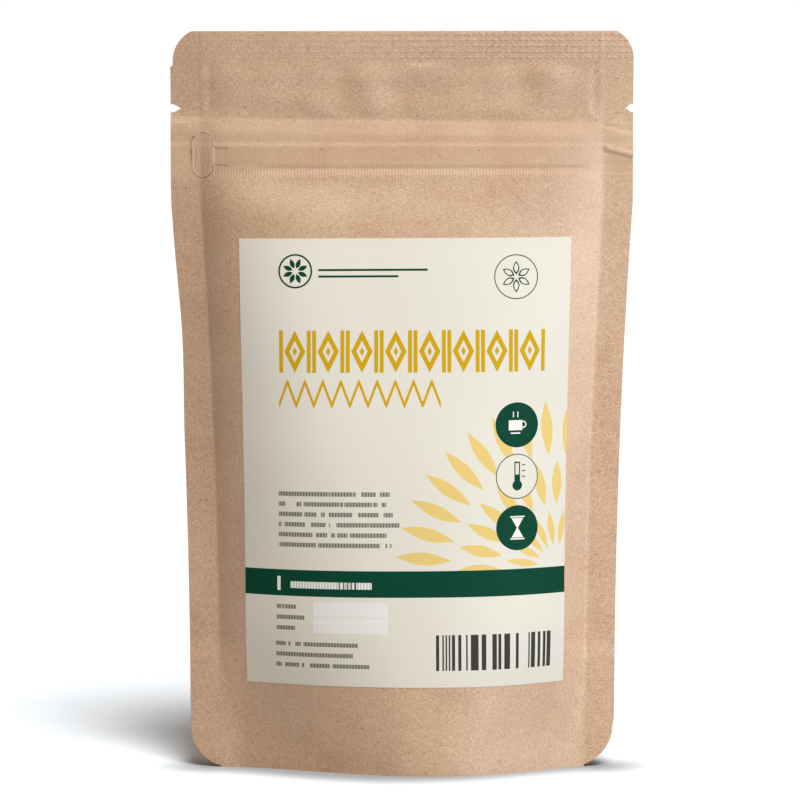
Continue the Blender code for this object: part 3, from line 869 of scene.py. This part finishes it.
def zip_strip(name, low, high, section, node):
    """A flange behind the front panel with its rib or groove, given as (rise, depth) in millimetres."""
    def place_flange(column, row, side):
        z = low + (high - low) * row / FLANGE_ROWS
        part = 2 * column / FLANGE_COLUMNS - 1
        x = (outline_half(z, np.sign(part)) - FLANGE_INSET) * part
        return x, front_face(x, z) + PANEL + WELD + FLANGE * side, z

    flange = sheet(name, FLANGE_COLUMNS, FLANGE_ROWS, place_flange)
    bm = bmesh.new()
    face = bm.faces.new([bm.verts.new((0, rise / 1000, depth / 1000)) for rise, depth in section])
    for k in range(1, PROFILE_STATIONS):
        grown = bmesh.ops.extrude_face_region(bm, geom=[face, *face.edges, *face.verts])["geom"]
        face = next(item for item in grown if isinstance(item, bmesh.types.BMFace))
        bmesh.ops.translate(bm, verts=face.verts[:], vec=(1, 0, 0))
    for vert in bm.verts:
        x = PROFILE_HALF * (2 * vert.co.x / (PROFILE_STATIONS - 1) - 1)
        z = RIB_HEIGHT + vert.co.y
        behind = float(front_face(np.array([x]), np.array([RIB_HEIGHT]))[0]) + PANEL
        vert.co = (x, behind + vert.co.z, z)
    bmesh.ops.recalc_face_normals(bm, faces=bm.faces[:])
    bm.from_mesh(flange)
    bm.to_mesh(flange)
    bm.free()
    piece(name, flange, plastic, "zip_plastic", node)


zip_strip("zip_rib", RIB_FLANGE_FOOT, ZIP_HIGH, [
    (-0.25, 0.3), (-0.25, 1.8), (-0.85, 1.8), (-0.85, 2.25),
    (0.85, 2.25), (0.85, 1.8), (0.25, 1.8), (0.25, 0.3)], "zip_rib_strip")
zip_strip("zip_groove", ZIP_LOW, GROOVE_FLANGE_TOP, [
    (-2.0, 0.3), (-1.6, 0.3), (-1.6, 1.1), (-0.65, 1.1), (-0.65, 1.45), (-1.6, 1.45), (-1.6, 2.6),
    (1.6, 2.6), (1.6, 1.45), (0.65, 1.45), (0.65, 1.1), (2.0, 1.1), (2.0, 3.0), (-2.0, 3.0)],
    "zip_groove_strip")


# Fill: dried ginger root cut into small pieces, one heap that holds the panels apart. It lies
# wholly inside the sealed pouch and keeps its solid shape.

ginger, shader, place = begin("dried_ginger")
chips = place.node("ShaderNodeTexVoronoi", {"feature": "F1"}, {"Vector": place, "Scale": 210.0})
chip_colour = Wire(chips.tree, chips.socket.node.outputs["Color"])
shade = chip_colour.node("ShaderNodeSeparateColor", {}, {"Color": chip_colour})
strands = place.stretched(1, 0.2, 1).noise(1500, 3.0, 0.6)
mix = shade * 0.6 + strands * 0.4
tone = mix.node("ShaderNodeValToRGB", {"stops": [
    (0.1, linear(170, 132, 78)), (0.5, linear(206, 172, 112)),
    (0.9, linear(232, 206, 152))]}, {"Fac": mix})
height = (1 - chips) * 1.2 + strands * 0.3
bump = height.node("ShaderNodeBump", {}, {"Height": height, "Distance": 0.0008, "Strength": 1.0})
rough = 0.8 + (strands - 0.5) * 0.3
tree = ginger.node_tree
tree.links.new(tone.socket, shader.inputs["Base Color"])
tree.links.new(rough.socket, shader.inputs["Roughness"])
tree.links.new(bump.socket, shader.inputs["Normal"])
fill_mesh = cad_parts["ginger_fill"].data
fill_mesh.materials.clear()
fill_mesh.materials.append(ginger)


# Studio: a white floor with a painted contact shadow round the pouch's foot, and a white surround.
# A round soft light stands close to the right, and others shine from overhead, in front and behind.
# Two light only the floor and one only the label, and the camera looks down a little from the front.

PAINTED_SHADE_FOOT_HALF = 0.0515
PAINTED_SHADE_SIDE = 0.053
PAINTED_SHADE_BOW = 0.0206
PAINTED_SHADE_REACH = 0.023
PAINTED_SHADE_STRENGTH = 0.75
KEY_SIZE = 0.36
KEY_DISTANCE = 0.5
KEY_FROM = (0.79, -0.60, 0.13)

floor_material, shader, place = begin("studio_floor")
speckle = place.noise(40, 2.0, 0.5)
tone = speckle.node("ShaderNodeValToRGB", {"stops": [
    (0.3, linear(243, 248, 252)), (0.7, linear(246, 251, 255))]}, {"Fac": speckle})
split = place.node("ShaderNodeSeparateXYZ", {}, {"Vector": place})
# A rim of painted contact shadow in the floor's colour, which fades outwards from the foot's bowed
# outline
beside = abs(split)
behind = abs(Wire(split.tree, split.socket.node.outputs["Y"]))
foot_part = place.maths("MAXIMUM", 1 - (beside / PAINTED_SHADE_FOOT_HALF) ** 2, 0.0)
past_side = place.maths("MAXIMUM", beside - PAINTED_SHADE_SIDE, 0.0)
past_front = place.maths("MAXIMUM", behind - foot_part ** 1.5 * PAINTED_SHADE_BOW, 0.0)
from_foot = place.maths("SQRT", past_side ** 2 + past_front ** 2)
# Painted shade: the floor's colour is darkened towards the foot
shade = from_foot.step(PAINTED_SHADE_REACH, 0.0) * PAINTED_SHADE_STRENGTH
tone = shade.paint(tone, (*linear(100, 100, 102), 1))
floor_material.node_tree.links.new(tone.socket, shader.inputs["Base Color"])
shader.inputs["Roughness"].default_value = 0.9
shader.inputs["Specular IOR Level"].default_value = 0.1
bm = bmesh.new()
bmesh.ops.create_grid(bm, x_segments=8, y_segments=8, size=6)
floor_mesh = bpy.data.meshes.new("studio_floor")
bm.to_mesh(floor_mesh)
bm.free()
floor_mesh.materials.append(floor_material)
floor = bpy.data.objects.new("studio_floor", floor_mesh)
bpy.context.scene.collection.objects.link(floor)
floor.visible_diffuse = False

floor_only = bpy.data.collections.new("floor_only")
floor_only.objects.link(floor)
pouch_only = bpy.data.collections.new("pouch_only")
pouch_only.objects.link(floor)
pouch_only.collection_objects[0].light_linking.link_state = "EXCLUDE"
label_only = bpy.data.collections.new("label_only")
label_only.objects.link(label)
POUCH_MIDDLE = Vector((0, 0, 0.1))


def far_light(name, place, spread, strength, lit, color=(1, 1, 1)):
    """A far light that shines from one side with soft shadows: its spread is an angle in degrees."""
    lamp = bpy.data.lights.new(name, "SUN")
    lamp.energy = strength
    lamp.angle = math.radians(spread)
    lamp.color = color
    made = bpy.data.objects.new(name, lamp)
    made.rotation_euler = (-Vector(place)).to_track_quat("-Z", "Y").to_euler()
    made.light_linking.receiver_collection = lit
    bpy.context.scene.collection.objects.link(made)


lamp = bpy.data.lights.new("key_light", "AREA")
lamp.shape = "DISK"
lamp.size = KEY_SIZE
lamp.energy = 1.48
lamp.color = (0.955, 1.04, 1.13)
key = bpy.data.objects.new("key_light", lamp)
towards = Vector(KEY_FROM).normalized()
key.location = POUCH_MIDDLE + towards * KEY_DISTANCE
key.rotation_euler = (-towards).to_track_quat("-Z", "Y").to_euler()
key.light_linking.receiver_collection = pouch_only
bpy.context.scene.collection.objects.link(key)
far_light("top_light", (0.10, -0.50, 0.86), 60, 1.78, pouch_only, (1.0, 0.99, 0.98))
far_light("front_fill", (0.0, -1.0, 0.1), 120, 0.45, pouch_only, (1.0, 0.71, 0.50))
far_light("back_fill", (-0.2, 1.0, 0.3), 60, 2.2, pouch_only)
far_light("floor_light_high", (0.204, -0.505, 0.839), 24, 2.35, floor_only)
far_light("floor_light_low", (0.142, -0.667, 0.731), 24, 1.80, floor_only)
far_light("label_light", (-0.60, -0.80, 0.10), 60, 0.42, label_only, (0.93, 1.0, 1.08))

world = bpy.data.worlds.new("white_surround")
world.use_nodes = True
bpy.context.scene.world = world
nodes = world.node_tree.nodes
seen = nodes["Background"]
seen.inputs["Color"].default_value = (1, 1, 1, 1)
seen.inputs["Strength"].default_value = 1.0
lit = nodes.new("ShaderNodeBackground")
lit.inputs["Color"].default_value = (1.0, 0.93, 0.87, 1)
lit.inputs["Strength"].default_value = 0.17
path = nodes.new("ShaderNodeLightPath")
either = nodes.new("ShaderNodeMixShader")
links = world.node_tree.links
links.new(path.outputs["Is Camera Ray"], either.inputs["Fac"])
links.new(lit.outputs["Background"], either.inputs[1])
links.new(seen.outputs["Background"], either.inputs[2])
links.new(either.outputs["Shader"], nodes["World Output"].inputs["Surface"])

CAMERA_PLACE = Vector((-0.00057, -1.3655, 0.20007))
CAMERA_AIM = Vector((-0.00057, 0, 0.10413))
CAMERA_ROLL = -0.00087
camera_data = bpy.data.cameras.new("camera")
camera_data.sensor_width = 36
camera_data.lens = 218.14
camera = bpy.data.objects.new("camera", camera_data)
ahead = (CAMERA_AIM - CAMERA_PLACE).normalized()
level = ahead.cross(Vector((0, 0, 1))).normalized()
upright = level.cross(ahead)
right = level * math.cos(CAMERA_ROLL) + upright * math.sin(CAMERA_ROLL)
upward = upright * math.cos(CAMERA_ROLL) - level * math.sin(CAMERA_ROLL)
turned = Matrix((right, upward, -ahead)).transposed().to_4x4()
camera.matrix_world = Matrix.Translation(CAMERA_PLACE) @ turned
bpy.context.scene.collection.objects.link(camera)
bpy.context.scene.camera = camera
bpy.context.scene.view_settings.view_transform = "Standard"
